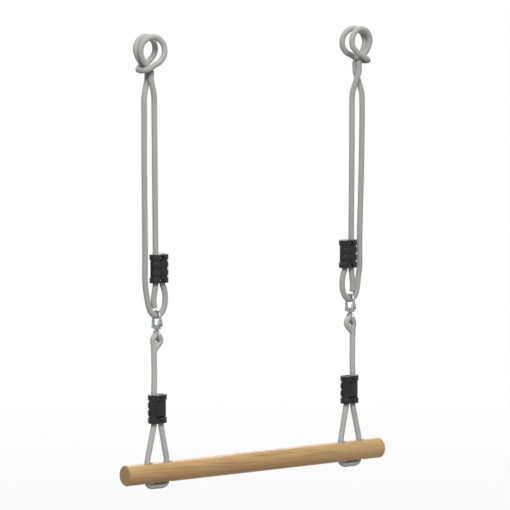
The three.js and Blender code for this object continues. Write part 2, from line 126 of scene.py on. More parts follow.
def mesh_from(name, verts, faces, scale=MM):
    """Object made of points and faces, in millimetres unless a scale is given."""
    mesh = bpy.data.meshes.new(name)
    mesh.from_pydata((np.asarray(verts, float) * scale).tolist(), [], faces)
    mesh.validate()
    return new_object(name, mesh)


def shift(x, y, z):
    """Matrix that moves by a distance in millimetres."""
    return Matrix.Translation(Vector((x, y, z)) * MM)


def arc(centre, radius, start, turn, steps):
    """Points in a plane along part of a circle, from the start angle through the turn."""
    points = []
    for i in range(steps + 1):
        angle = start + turn * i / steps
        points.append((centre[0] + radius * math.cos(angle), centre[1] + radius * math.sin(angle)))
    return points


def bridge(low, high):
    """Quads that join two rings of vertex numbers."""
    next_low, next_high = [*low[1:], low[0]], [*high[1:], high[0]]
    return list(zip(low, next_low, next_high, high))


def shade(obj, angle):
    """Smooth shading, with the edges sharper than the angle left crisp."""
    mesh = obj.data
    mesh.polygons.foreach_set("use_smooth", [True] * len(mesh.polygons))
    bm = bmesh.new()
    bm.from_mesh(mesh)
    bmesh.ops.recalc_face_normals(bm, faces=bm.faces)
    limit = math.radians(angle)
    for edge in bm.edges:
        edge.smooth = not (len(edge.link_faces) == 2 and edge.calc_face_angle(0.0) > limit)
    bm.to_mesh(mesh)
    bm.free()
    return obj


def applied(obj, kind, **settings):
    """Adds a modifier, applies it and removes it."""
    modifier = obj.modifiers.new(kind.lower(), kind)
    for key, value in settings.items():
        setattr(modifier, key, value)
    graph = bpy.context.evaluated_depsgraph_get()
    mesh = bpy.data.meshes.new_from_object(obj.evaluated_get(graph))
    obj.modifiers.clear()
    old = obj.data
    obj.data = mesh
    bpy.data.meshes.remove(old)
    return obj


def cut(obj, *tools):
    """Takes the tools out of an object, and removes them."""
    for tool in tools:
        applied(obj, "BOOLEAN", operation="DIFFERENCE", solver="EXACT", object=tool)
        bpy.data.objects.remove(tool)
    return obj


def joined(name, *parts):
    """One object that holds the meshes of all the given ones."""
    bm = bmesh.new()
    for part in parts:
        part.data.transform(part.matrix_world)
        bm.from_mesh(part.data)
        bpy.data.objects.remove(part)
    mesh = bpy.data.meshes.new(name)
    bm.to_mesh(mesh)
    bm.free()
    return new_object(name, mesh)


def fused(name, *parts, voxel, rounds):
    """Forged look: the parts become one skin whose inner corners are rounded."""
    obj = joined(name, *parts)
    applied(obj, "REMESH", mode="VOXEL", voxel_size=voxel * MM, use_smooth_shade=True)
    applied(obj, "SMOOTH", factor=SMOOTHING, iterations=rounds)
    return obj


def lathe(name, profile, sides, place=(0, 0, 0), turn=None):
    """Solid turned about Z from radii and heights, in millimetres."""
    verts, faces, rings = [], [], []
    for radius, height in profile:
        ring = [(0, 0)] if radius < ON_AXIS else arc((0, 0), radius, 0, 2 * math.pi, sides)[:-1]
        rings.append(range(len(verts), len(verts) + len(ring)))
        verts += [(x, y, height) for x, y in ring]
    for low, high in zip(rings, rings[1:]):
        if len(low) == 1:
            faces += [(low[0], high[(i + 1) % sides], high[i]) for i in range(sides)]
        elif len(high) == 1:
            faces += [(low[i], low[(i + 1) % sides], high[0]) for i in range(sides)]
        else:
            faces += bridge(low, high)
    obj = mesh_from(name, verts, faces)
    if turn is not None:
        obj.data.transform(turn)
    obj.data.transform(shift(*place))
    return obj


def rounded_profile(radius, low, high, fillet, steps=6):
    """Profile of a cylinder with rounded rims, from its lowest point to its highest."""
    inner = radius - fillet
    points = [(0, low)]
    for i in range(steps + 1):
        angle = math.pi / 2 * i / steps
        points.append((inner + fillet * math.sin(angle), low + fillet - fillet * math.cos(angle)))
    return points + arc((inner, high - fillet), fillet, 0, math.pi / 2, steps) + [(0, high)]


def rod(name, radius, low, high, sides, place=(0, 0, 0), turn=None):
    """Plain tool for cutting a hole, round where it has many sides."""
    profile = [(0, low), (radius, low), (radius, high), (0, high)]
    return lathe(name, profile, sides, place, turn)


def rounded_block(width, depth, height, fillet, place):
    """Box about its middle, with all its edges rounded."""
    signs = [(x, y, z) for x in (-1, 1) for y in (-1, 1) for z in (-1, 1)]
    verts = [(x * width / 2, y * depth / 2, z * height / 2) for x, y, z in signs]
    faces = [(0, 1, 3, 2), (4, 6, 7, 5), (0, 4, 5, 1), (2, 3, 7, 6), (0, 2, 6, 4), (1, 5, 7, 3)]
    block = mesh_from("block", verts, faces)
    applied(block, "BEVEL", width=fillet * MM, segments=4, limit_method="NONE")
    block.data.transform(shift(*place))
    return block


def prism(name, outline, low, high, bevel):
    """Upright solid of an outline, with its rims rounded."""
    count = len(outline)
    verts = [(x, y, z) for z in (low, high) for x, y in outline]
    faces = [tuple(range(count))[::-1], tuple(range(count, 2 * count))]
    faces += bridge(range(count), range(count, 2 * count))
    obj = mesh_from(name, verts, faces)
    limit = math.radians(50)
    return applied(
        obj, "BEVEL", width=bevel * MM, segments=3, limit_method="ANGLE", angle_limit=limit
    )


# Turns of a solid that was made upright: along X, or along Y with its top at the front
TURN_TO_X = Matrix.Rotation(math.pi / 2, 4, "Y")
TURN_TO_FRONT = Matrix.Rotation(math.pi / 2, 4, "X")


# Curves and bars along them

SPLINE_STEPS = 48
LEAST_SPAN = 1e-4
# A path whose cross product with Y is smaller than this runs nearly along Y
NEARLY_ALONG = 0.1
CAP_RINGS = 4


def spline(points, step):
    """Centripetal curve through the points, at even steps, and each point's run along it."""
    points = np.asarray(points, float)
    first = 2 * points[0] - points[1]
    last = 2 * points[-1] - points[-2]
    full = np.vstack([first, points, last])
    fine = []
    for i in range(1, len(full) - 2):
        p0, p1, p2, p3 = full[i - 1:i + 3]
        d0, d1, d2 = (
            max(np.linalg.norm(b - a) ** 0.5, LEAST_SPAN) for a, b in ((p0, p1), (p1, p2), (p2, p3))
        )
        m1 = ((p1 - p0) / d0 - (p2 - p0) / (d0 + d1) + (p2 - p1) / d1) * d1
        m2 = ((p2 - p1) / d1 - (p3 - p1) / (d1 + d2) + (p3 - p2) / d2) * d1
        for t in np.arange(0, 1, 1 / SPLINE_STEPS):
            a, b = 2 * t ** 3 - 3 * t ** 2 + 1, t ** 3 - 2 * t ** 2 + t
            c, d = -2 * t ** 3 + 3 * t ** 2, t ** 3 - t ** 2
            fine.append(a * p1 + b * m1 + c * p2 + d * m2)
    fine.append(full[-2])
    fine = np.array(fine)
    steps = np.linalg.norm(np.diff(fine, axis=0), axis=1)
    runs = np.concatenate([[0], np.cumsum(steps)])
    count = max(2, int(round(runs[-1] / step)) + 1)
    even = np.linspace(0, runs[-1], count)
    return np.stack([np.interp(even, runs, fine[:, k]) for k in range(3)], 1), even


def carried_frames(path):
    """Two directions square to the path at each point, carried along it without twist."""
    tangents = np.gradient(path, axis=0)
    tangents /= np.linalg.norm(tangents, axis=1)[:, None]
    across = np.cross(tangents[0], (0.0, 1.0, 0.0))
    if np.linalg.norm(across) < NEARLY_ALONG:
        across = np.cross(tangents[0], (1.0, 0.0, 0.0))
    sides = []
    for tangent in tangents:
        across = across - tangent * (across @ tangent)
        across /= np.linalg.norm(across)
        sides.append(across)
    sides = np.array(sides)
    return tangents, sides, np.cross(tangents, sides)


def swept(name, path, radius, sides, offsets=None, dome=0.5):
    """Round bar along a path, with domed ends. offsets gives each ring point's own height."""
    tangents, one, two = carried_frames(path)
    angles = 2 * np.pi * np.arange(sides) / sides
    across, up = np.cos(angles)[:, None], np.sin(angles)[:, None]
    caps = []
    for end, sign in ((0, -1), (len(path) - 1, 1)):
        cap = []
        for k in range(CAP_RINGS):
            angle = math.pi / 2 * (k + 1) / (CAP_RINGS + 1)
            centre = path[end] + tangents[end] * sign * math.sin(angle) * radius * dome
            cap.append((centre, end, math.cos(angle) * radius))
        caps.append(cap)
    body = [(centre, k, radius) for k, centre in enumerate(path)]
    rings = caps[0][::-1] + body + caps[1]
    verts = []
    for centre, k, reach in rings:
        reaches = np.full(sides, reach)
        if offsets is not None:
            reaches = reaches + offsets[k] * (reach / radius)
        verts.append(centre + reaches[:, None] * (across * one[k] + up * two[k]))
    start = path[0] - tangents[0] * radius * dome
    stop = path[-1] + tangents[-1] * radius * dome
    verts = np.vstack([*verts, start, stop])
    faces = []
    for r in range(len(rings) - 1):
        low = range(r * sides, (r + 1) * sides)
        faces += bridge(low, range(low.stop, low.stop + sides))
    last, tip = (len(rings) - 1) * sides, len(rings) * sides
    for i in range(sides):
        j = (i + 1) % sides
        faces.append((tip, j, i))
        faces.append((tip + 1, last + i, last + j))
    return mesh_from(name, verts, faces)


# Rope: its braid, with lengths and heights in millimetres

BRAID_SIDES = 48
BRAID_PLAITS = 8
BRAID_LENGTH = 5.2
BRAID_STEP = BRAID_LENGTH / 6
BRAID_HEIGHT = 0.7
BRAID_MEAN = 0.72
BRAID_INSET = 0.1
BRAID_DIVE = 0.6
BRAID_PHASE = 0.125
ROPE_END_DOME = 0.35


def braid_heights(runs):
    """Height of the braid at each ring point, from 0 in the gaps to 1 on a strand's back."""
    around = np.arange(BRAID_SIDES) / BRAID_SIDES * BRAID_PLAITS
    along = runs[:, None] / BRAID_LENGTH
    u = around[None, :] + along + BRAID_PHASE
    v = around[None, :] - along + BRAID_PHASE
    over = (np.floor(u) + np.floor(v)) % 2 == 0
    a = 2 * (u % 1) - 1
    b = 2 * (v % 1) - 1
    across = np.where(over, a, b)
    lengthwise = np.where(over, b, a)
    crown = np.sqrt(np.clip(1 - across ** 2, 0, 1))
    return crown * (1 - BRAID_DIVE * np.abs(lengthwise) ** 3)


def numbers_of(items, key):
    """Whole number that each corner or face of a mesh has under a key."""
    numbers = np.zeros(len(items), np.int32)
    items.foreach_get(key, numbers)
    return numbers


def braided_rope(name, points):
    """Braided rope along the points, with its braid in the mesh, and a map along and round it."""
    path, runs = spline(points, BRAID_STEP)
    heights = braid_heights(runs)
    offsets = (heights - BRAID_MEAN) * BRAID_HEIGHT
    obj = swept(name, path, ROPE_RADIUS - BRAID_INSET, BRAID_SIDES, offsets, ROPE_END_DOME)
    mesh = obj.data
    # The domed ends take level 0, the darkest tone of the braid: the painted groove shade, here
    # also standing for a darker sealed end
    cap = np.zeros(CAP_RINGS * BRAID_SIDES)
    level = np.concatenate([cap, heights.ravel(), cap, [0, 0]])
    attribute = mesh.attributes.new("braid", "FLOAT", "POINT")
    attribute.data.foreach_set("value", level.astype(np.float32))
    uv = mesh.uv_layers.new(name="rope_map")
    loops = numbers_of(mesh.loops, "vertex_index")
    starts, totals = (numbers_of(mesh.polygons, key) for key in ("loop_start", "loop_total"))
    ring = np.clip(loops // BRAID_SIDES - CAP_RINGS, 0, len(path) - 1)
    around = (loops % BRAID_SIDES).astype(float)
    for start, total in zip(starts, totals):
        span = around[start:start + total]
        if span.max() - span.min() > BRAID_SIDES / 2:
            span[span < BRAID_SIDES / 2] += BRAID_SIDES
    turns = around / BRAID_SIDES * BRAID_PLAITS + BRAID_PHASE
    flat = np.stack([turns, runs[ring] / BRAID_LENGTH], 1)
    uv.data.foreach_set("uv", flat.ravel().astype(np.float32))
    shade(obj, angle=180)
    return obj, path


# Routes of the ropes on the right side, in millimetres

# Hitch at the top, with the angles of its wrap in degrees
STRAND_LANE = 5.6
WRAP_LANE = 16.6
WRAP_RADIUS = 22.7
WRAP_START, WRAP_END, WRAP_STEPS = -35.0, 242.0, 6
FLEX_Z = -50.0
FLEX_RADIUS = 12.5
HITCH_STUB_RISE = 5.0
BRIDGE_POINTS = (
    (1, 16.6, -25.5), (7.2, 16.5, -29.4), (12.7, 13.7, -32.7), (16.4, 7.4, -34.1), (17.3, 0, -34.6),
)
# Strands under the hitch, down to the clamp and to the hook
STRAND_SPREAD = 10.5
TWIST_LENGTH = 42.0
TWIST_SHARES = ((0.12, 0.96, 0.14), (0.58, 0.7, 0.5), (0.94, 0.2, 0.86))
STRAND_FALL_SHARES = (0.3, 0.65, 0.93)
OUTER_STRAND_X = UPPER_CLAMP_X + 27.5
OUTER_STRAND_BACK = 2.0
BORE_LEAN = 0.6
ROPE_END_INSET = 6.5
BIGHT_POINTS = (
    (20.4, 2.2, 42), (18, 1.8, 28), (15.2, 1, 15), (11.2, 0.3, 6.4), (6, 0, 1.8), (0, 0, 0),
    (-6, 0, 1.8), (-11.6, 0, 6.6), (-15.9, 0, 15.2), (-17.9, 0, 27), (-17.2, 0, 39),
    (-14.6, 0, 48.5),
)
TAIL_POINTS = ((0.6, 0, -6), (2.2, 0.2, -16), (3.7, 0.4, -26), (3.8, 0.3, -34), (2.4, 0, -42))
# Lower rope: its eye round the swivel ring, its fall to the clamp and its bends under the bar
EYE_RADIUS = 7.75
EYE_RETURN = ((0.76, 21), (0.46, 16.6), (-0.18, 10.9), (-0.85, 5.25))
LOWER_FALL_SHARES = ((0.75, 0.12), (1.3, 0.4), (1.4, 0.7), (1.1, 0.93))
BEND_RADIUS = 9.3


def hitch_route():
    """From the outer strand's lane up round the hitch and back down in the inner strand's lane."""
    half = [(HITCH_X, STRAND_LANE, FLEX_Z + rise) for rise in (HITCH_STUB_RISE, FLEX_RADIUS)]
    for i in range(WRAP_STEPS + 1):
        share = i / WRAP_STEPS
        angle = math.radians(WRAP_START + (WRAP_END - WRAP_START) * share)
        lane = STRAND_LANE + (WRAP_LANE - STRAND_LANE) * share
        x, z = HITCH_X + WRAP_RADIUS * math.cos(angle), WRAP_RADIUS * math.sin(angle)
        half.append((x, lane, z))
    half += [(HITCH_X + x, y, z) for x, y, z in BRIDGE_POINTS]
    return half + [(x, -y, z) for x, y, z in half[-2::-1]]


def strand_head(lane, spread):
    """Top of a strand, from the flex line under the hitch to where the two strands part."""
    head = [(HITCH_X, lane, FLEX_Z)]
    for across, along, down in TWIST_SHARES:
        head.append((HITCH_X + spread * across, lane * along, FLEX_Z - TWIST_LENGTH * down))
    return head + [(HITCH_X + spread, 0, FLEX_Z - TWIST_LENGTH)]


def sling_route():
    """From the free tail up through the clamp, round the hitch, down through the hook and back."""
    bore = UPPER_CLAMP_X + BORE_OFFSET
    head_x, head_z = HITCH_X - STRAND_SPREAD, FLEX_Z - TWIST_LENGTH
    middle_z = (CLAMP_TOP_Z + CLAMP_BOTTOM_Z) / 2
    inner = strand_head(-STRAND_LANE, -STRAND_SPREAD)
    for share in STRAND_FALL_SHARES:
        x, z = head_x + (bore - head_x) * share, head_z + (CLAMP_TOP_Z - head_z) * share
        inner.append((x, 0, z))
    inner += [(bore, 0, CLAMP_TOP_Z), (bore, 0, middle_z), (bore, 0, CLAMP_BOTTOM_Z)]
    inner += [(bore + x, y, CLAMP_BOTTOM_Z + z) for x, y, z in TAIL_POINTS]
    far = UPPER_CLAMP_X - BORE_OFFSET
    outer = strand_head(STRAND_LANE, STRAND_SPREAD)
    outer += [
        (HITCH_X + STRAND_SPREAD, 0, (FLEX_Z + CLAMP_TOP_Z) / 2),
        (OUTER_STRAND_X, OUTER_STRAND_BACK, CLAMP_TOP_Z),
        (OUTER_STRAND_X, OUTER_STRAND_BACK, CLAMP_BOTTOM_Z),
    ]
    outer += [(HOOK_X + x, y, BITE_Z + z) for x, y, z in BIGHT_POINTS]
    outer += [
        (far - BORE_LEAN, 0, CLAMP_BOTTOM_Z - ROPE_RADIUS),
        (far, 0, CLAMP_BOTTOM_Z),
        (far, 0, middle_z),
        (far, 0, CLAMP_TOP_Z - ROPE_END_INSET),
    ]
    return inner[::-1] + hitch_route()[::-1] + outer


def eye_route():
    """From the end buried in the splice, up the inner side and over the wire of the swivel ring."""
    shoulder = EYE_RADIUS * math.sqrt(0.5)
    route = [(HOOK_X + EYE_RADIUS * across, 0, RING_BOTTOM_Z - down) for across, down in EYE_RETURN]
    for x, z in (
        (-EYE_RADIUS, 0), (-shoulder, shoulder), (0, EYE_RADIUS), (shoulder, shoulder),
        (EYE_RADIUS, 0),
    ):
        route.append((HOOK_X + x, 0, RING_BOTTOM_Z + z))
    return route


def lower_route():
    """From the end buried in the splice, round the swivel ring, through the clamp and the bar."""
    inner_bore, outer_bore = LOWER_CLAMP_X - BORE_OFFSET, LOWER_CLAMP_X + BORE_OFFSET
    inner_x, outer_x = HOOK_X - LOOP_HOLE_SPACING / 2, HOOK_X + LOOP_HOLE_SPACING / 2
    run_z = BAR_Z - BAR_RADIUS - GAP - ROPE_RADIUS
    bend_z = run_z + BEND_RADIUS
    bend = BEND_RADIUS * math.sqrt(0.5)
    mouth_z = BAR_Z + BAR_RADIUS
    middle_z = (LOWER_CLAMP_TOP_Z + LOWER_CLAMP_BOTTOM_Z) / 2
    leg_z = (LOWER_CLAMP_BOTTOM_Z + mouth_z) / 2
    route = eye_route()
    top_x = HOOK_X + EYE_RADIUS
    fall = LOWER_CLAMP_TOP_Z - RING_BOTTOM_Z
    for across, down in LOWER_FALL_SHARES:
        route.append((top_x + (outer_bore - top_x) * across, 0, RING_BOTTOM_Z + fall * down))
    for x, z in (
        (outer_bore, LOWER_CLAMP_TOP_Z), (outer_bore, middle_z), (outer_bore, LOWER_CLAMP_BOTTOM_Z),
        (outer_bore + BORE_LEAN, LOWER_CLAMP_BOTTOM_Z - ROPE_RADIUS),
        ((outer_bore + outer_x) / 2, leg_z),
        (outer_x - BORE_LEAN, mouth_z + ROPE_RADIUS), (outer_x, mouth_z - ROPE_RADIUS),
        (outer_x, BAR_Z), (outer_x, bend_z),
        (outer_x - BEND_RADIUS + bend, bend_z - bend), (outer_x - BEND_RADIUS, run_z),
        (HOOK_X, run_z),
        (inner_x + BEND_RADIUS, run_z), (inner_x + BEND_RADIUS - bend, bend_z - bend),
        (inner_x, bend_z), (inner_x, BAR_Z), (inner_x, mouth_z - ROPE_RADIUS),
        (inner_x + BORE_LEAN, mouth_z + ROPE_RADIUS),
        ((inner_bore + inner_x) / 2, leg_z),
        (inner_bore - BORE_LEAN, LOWER_CLAMP_BOTTOM_Z - ROPE_RADIUS),
        (inner_bore, LOWER_CLAMP_BOTTOM_Z), (inner_bore, middle_z),
        (inner_bore, LOWER_CLAMP_TOP_Z - ROPE_END_INSET),
    ):
        route.append((x, 0, z))
    return route


def mirrored(points, side):
    """The points as they are for the right side, or mirrored for the left."""
    return [(side * x, y, z) for x, y, z in points]


def make_ropes(label, side):
    """The sling and the lower rope of one side."""
    sling, path = braided_rope(f"sling_rope_{label}", mirrored(sling_route(), side))
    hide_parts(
        f"rung_hitch_{label}", f"sling_inner_strand_{label}", f"sling_outer_strand_{label}"
    )
    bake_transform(sling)
    lower, path = braided_rope(f"bar_rope_{label}", mirrored(lower_route(), side))
    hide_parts(f"lower_rope_{label}")
    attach(lower, "trapeze")
    sling.data.materials.append(sling_material)
    lower.data.materials.append(lower_material)


# Materials

class Nodes:
    """Short names for the shader nodes of one material."""

    def __init__(self, name):
        self.material = bpy.data.materials.new(name)
        self.material.use_nodes = True
        self.tree = self.material.node_tree
        self.shader = self.tree.nodes["Principled BSDF"]

    def node(self, kind, inputs=None, **settings):
        """New node with its own settings, and values or links for its inputs."""
        node = self.tree.nodes.new(kind)
        for key, value in settings.items():
            setattr(node, key, value)
        for key, value in (inputs or {}).items():
            self.feed(node.inputs[key], value)
        return node

    def feed(self, socket, value):
        """Links a socket to an output or to a node's first output, or sets its value."""
        if isinstance(value, bpy.types.NodeSocket):
            self.tree.links.new(value, socket)
        elif isinstance(value, bpy.types.Node):
            self.tree.links.new(value.outputs[0], socket)
        else:
            socket.default_value = value

    def math(self, operation, *values):
        return self.node("ShaderNodeMath", dict(enumerate(values)), operation=operation).outputs[0]

    def place(self, scale=(1, 1, 1)):
        """Place on the piece in metres, stretched by the scale."""
        coordinates = self.node("ShaderNodeTexCoord").outputs["Object"]
        return self.node("ShaderNodeMapping", {"Vector": coordinates, "Scale": scale}).outputs[0]

    def noise(self, vector, scale, detail=4.0, rough=0.55, distortion=0.0):
        inputs = {
            "Vector": vector, "Scale": scale, "Detail": detail, "Roughness": rough,
            "Distortion": distortion,
        }
        return self.node("ShaderNodeTexNoise", inputs).outputs[0]

    def ramp(self, factor, *stops):
        """Colour that runs through the stops, each a position and a colour."""
        node = self.node("ShaderNodeValToRGB", {"Fac": factor})
        ramp = node.color_ramp
        for i, (position, colour) in enumerate(stops):
            stop = ramp.elements[i] if i < len(ramp.elements) else ramp.elements.new(position)
            stop.position = position
            stop.color = colour
        return node.outputs[0]

    def grey(self, factor, low, high, start=0.0, stop=1.0):
        """Value that goes from low to high while the factor goes from start to stop."""
        inputs = {
            "Value": factor, "From Min": start, "From Max": stop, "To Min": low, "To Max": high,
        }
        return self.node("ShaderNodeMapRange", inputs).outputs[0]

    def choice(self, factor, one, two):
        """The first value where the factor is 0, and the second where it is 1."""
        return self.node("ShaderNodeMix", {0: factor, 2: one, 3: two}).outputs[0]

    def mix(self, factor, one, two, blend="MIX"):
        """Mix of two colours."""
        inputs = {0: factor, 6: one, 7: two}
        return self.node("ShaderNodeMix", inputs, data_type="RGBA", blend_type=blend).outputs[2]

    def tinted(self, tone, colour, factor, *span):
        """The tone, mixed with the colour by as much as grey makes of the factor."""
        return self.mix(self.grey(factor, *span), tone, colour)

    def bump(self, height, strength, distance, normal=None):
        """Bumped normal, on top of another where one is given."""
        inputs = {"Height": height, "Strength": strength, "Distance": distance}
        if normal is not None:
            inputs["Normal"] = normal
        return self.node("ShaderNodeBump", inputs).outputs[0]

    def set(self, **inputs):
        """Feeds inputs of the material's shader, and returns the material."""
        for key, value in inputs.items():
            self.feed(self.shader.inputs[key.replace("_", " ")], value)
        return self.material


def opaque(red, green, blue):
    return red, green, blue, 1.0


# Tones; the shares are of a steel's brightness
WHITE = opaque(1, 1, 1)
# Rope: painted shade darkens the braid from its crown down its flanks into its grooves
ROPE_GROOVE_SHADE = opaque(0.11, 0.11, 0.108)
ROPE_FLANK_SHADE = opaque(0.48, 0.48, 0.474)
ROPE_CROWN = opaque(0.68, 0.68, 0.672)
# Painted shade in the creases between the yarns of a strand
ROPE_YARN_SHADE = opaque(0.28, 0.28, 0.276)
# Painted shade at the edges of each strand, where it dives under the next
ROPE_RIM_SHADE = opaque(0.1, 0.1, 0.098)
ROPE_FIBRE = opaque(0.8, 0.8, 0.79)
ROPE_DRIFT = opaque(0.36, 0.36, 0.354)
PLASTIC_DEEP = opaque(0.005, 0.005, 0.005)
PLASTIC_PALE = opaque(0.011, 0.011, 0.012)
# Lighter grey on convex edges: partly wear, partly painted highlight on the rims of the ribs
PLASTIC_WEAR_AND_HIGHLIGHT = opaque(0.07, 0.07, 0.069)
STEEL_DULL_SHARES = (0.7, 0.71, 0.73)
STEEL_CLEAN_SHARES = (1.0, 1.01, 1.03)
# Painted shade for the inner corners of the steel
STEEL_CORNER_SHADE = opaque(0.06, 0.06, 0.06)
WOOD_EARLY = opaque(0.58, 0.385, 0.18)
WOOD_MIDDLE = opaque(0.51, 0.32, 0.135)
WOOD_LATE = opaque(0.34, 0.19, 0.07)
WOOD_WARM = opaque(0.52, 0.265, 0.095)
WOOD_BAND = opaque(0.31, 0.165, 0.062)
WOOD_STREAK = opaque(0.33, 0.2, 0.085)
WOOD_PORE = opaque(0.17, 0.1, 0.045)
WOOD_PALE = opaque(0.62, 0.44, 0.21)
WOOD_END_EARLY = opaque(0.5, 0.35, 0.18)
WOOD_END_LATE = opaque(0.32, 0.2, 0.09)

# Yarns across a strand of the braid, and how far they lean along it
YARN_COUNT = 5.0
YARN_LEAN = 1.2

# In metres: puts the heart of the tree beside the bar, and where the end grain fades in
HEART = (0, 0.021, 0.748)
END_GRAIN_START = (BAR_LENGTH / 2 - 2.4) * MM
END_GRAIN_STOP = (BAR_LENGTH / 2 - 0.4) * MM


def make_rope_material(name, lightness):
    """Braid on the rope's own map, with painted shade down the flanks and in the grooves, between
    the yarns in its strands and at their edges; loose fibres and a slow drift.
    """
    n = Nodes(name)
    uv = n.node("ShaderNodeUVMap", uv_map="rope_map").outputs[0]
    parts = n.node("ShaderNodeSeparateXYZ", {0: uv}).outputs
    u = n.math("ADD", parts[0], parts[1])
    v = n.math("SUBTRACT", parts[0], parts[1])
    floors = n.math("ADD", n.math("FLOOR", u), n.math("FLOOR", v))
    over = n.math("COMPARE", n.math("FLOORED_MODULO", floors, 2.0), 0.0, 0.1)
    across = n.choice(over, n.math("FRACT", v), n.math("FRACT", u))
    lengthwise = n.choice(over, n.math("FRACT", u), n.math("FRACT", v))
    spread = n.math("MULTIPLY", across, YARN_COUNT)
    twist = n.math("MULTIPLY_ADD", lengthwise, YARN_LEAN, spread)
    wave = n.math("SINE", n.math("MULTIPLY", twist, 2 * math.pi))
    yarns = n.math("MULTIPLY_ADD", wave, 0.5, 0.5)
    rim = n.math("ABSOLUTE", n.math("MULTIPLY_ADD", across, 2.0, -1.0))
    level = n.node("ShaderNodeAttribute", attribute_name="braid").outputs["Fac"]
    place = n.place()
    drift = n.noise(place, 22.0, 4.0)
    fibre = n.noise(place, 1500.0, 3.0)
    # Painted shade: each strand darkens from its crown down its flanks, darkest in the grooves of
    # the braid
    tone = n.ramp(level, (0.05, ROPE_GROOVE_SHADE), (0.5, ROPE_FLANK_SHADE), (1.0, ROPE_CROWN))
    # Painted shade in the creases between the yarns of a strand
    tone = n.tinted(tone, ROPE_YARN_SHADE, yarns, 0.4, 0.0)
    # Painted shade at the edges of each strand, where it dives under the next
    tone = n.tinted(tone, ROPE_RIM_SHADE, rim, 0.0, 0.55, 0.72, 1.0)
    tone = n.tinted(tone, ROPE_FIBRE, fibre, 0.0, 0.35, 0.4, 0.7)
    tone = n.tinted(tone, ROPE_DRIFT, drift, 0.0, 0.3, 0.4, 0.7)
    tone = n.mix(1.0, tone, opaque(lightness, lightness, lightness), "MULTIPLY")
    first = n.bump(yarns, 0.4, 0.0002)
    last = n.bump(fibre, 0.3, 0.00015, first)
    return n.set(
        Base_Color=tone, Roughness=0.88, Normal=last, Sheen_Weight=0.2, Sheen_Roughness=0.5
    )


def make_plastic_material():
    """Black moulded plastic with a fine grain, lighter grey in patches on its outer edges: partly
    wear, partly painted highlight where the rims of the ribs catch the light.
    """
    n = Nodes("black_moulded_plastic")
    place = n.place()
    grain = n.noise(place, 2600.0, 2.0)
    flow = n.noise(place, 90.0, 4.0)
    edge = n.node("ShaderNodeNewGeometry").outputs["Pointiness"]
    edge_patches = n.grey(n.noise(place, 260.0, 4.0), 0.35, 1.0, 0.35, 0.6)
    # Painted highlight and wear: convex edges turn lighter grey in patches
    wear_and_highlight = n.math("MULTIPLY", n.grey(edge, 0.0, 0.6, 0.54, 0.66), edge_patches)
    tone = n.ramp(flow, (0.3, PLASTIC_DEEP), (0.7, PLASTIC_PALE))
    tone = n.mix(wear_and_highlight, tone, PLASTIC_WEAR_AND_HIGHLIGHT)
    rough = n.grey(flow, 0.32, 0.48)
    bump = n.bump(grain, 0.3, 0.00005)
    return n.set(Base_Color=tone, Roughness=rough, Normal=bump, Specular_IOR_Level=0.36)


def make_steel_material(name, bright, rough):
    """Coated steel with a faint spangle and small pits, and painted shade that darkens its inner
    corners.
    """
    n = Nodes(name)
    place = n.place()
    spangle = n.node("ShaderNodeTexVoronoi", {"Vector": place, "Scale": 520.0}).outputs["Color"]
    patch = n.node("ShaderNodeSeparateColor", {0: spangle}).outputs[0]
    cloud = n.noise(place, 160.0, 5.0, 0.6)
    pits = n.noise(place, 1700.0, 3.0)
    dull, clean = (
        opaque(*(bright * share for share in shares))
        for shares in (STEEL_DULL_SHARES, STEEL_CLEAN_SHARES)
    )
    mottle = n.math("MULTIPLY_ADD", patch, 0.25, n.math("MULTIPLY", cloud, 0.75))
    tone = n.ramp(mottle, (0.25, dull), (0.75, clean))
    edge = n.node("ShaderNodeNewGeometry").outputs["Pointiness"]
    # Painted shade: concave corners darken towards a near black
    tone = n.tinted(tone, STEEL_CORNER_SHADE, edge, 0.0, 0.5, 0.5, 0.42)
    finish = n.grey(cloud, rough * 0.8, rough * 1.25, 0.3, 0.7)
    bump = n.bump(pits, 0.15, 0.00004)
    return n.set(Base_Color=tone, Metallic=1.0, Roughness=finish, Normal=bump)


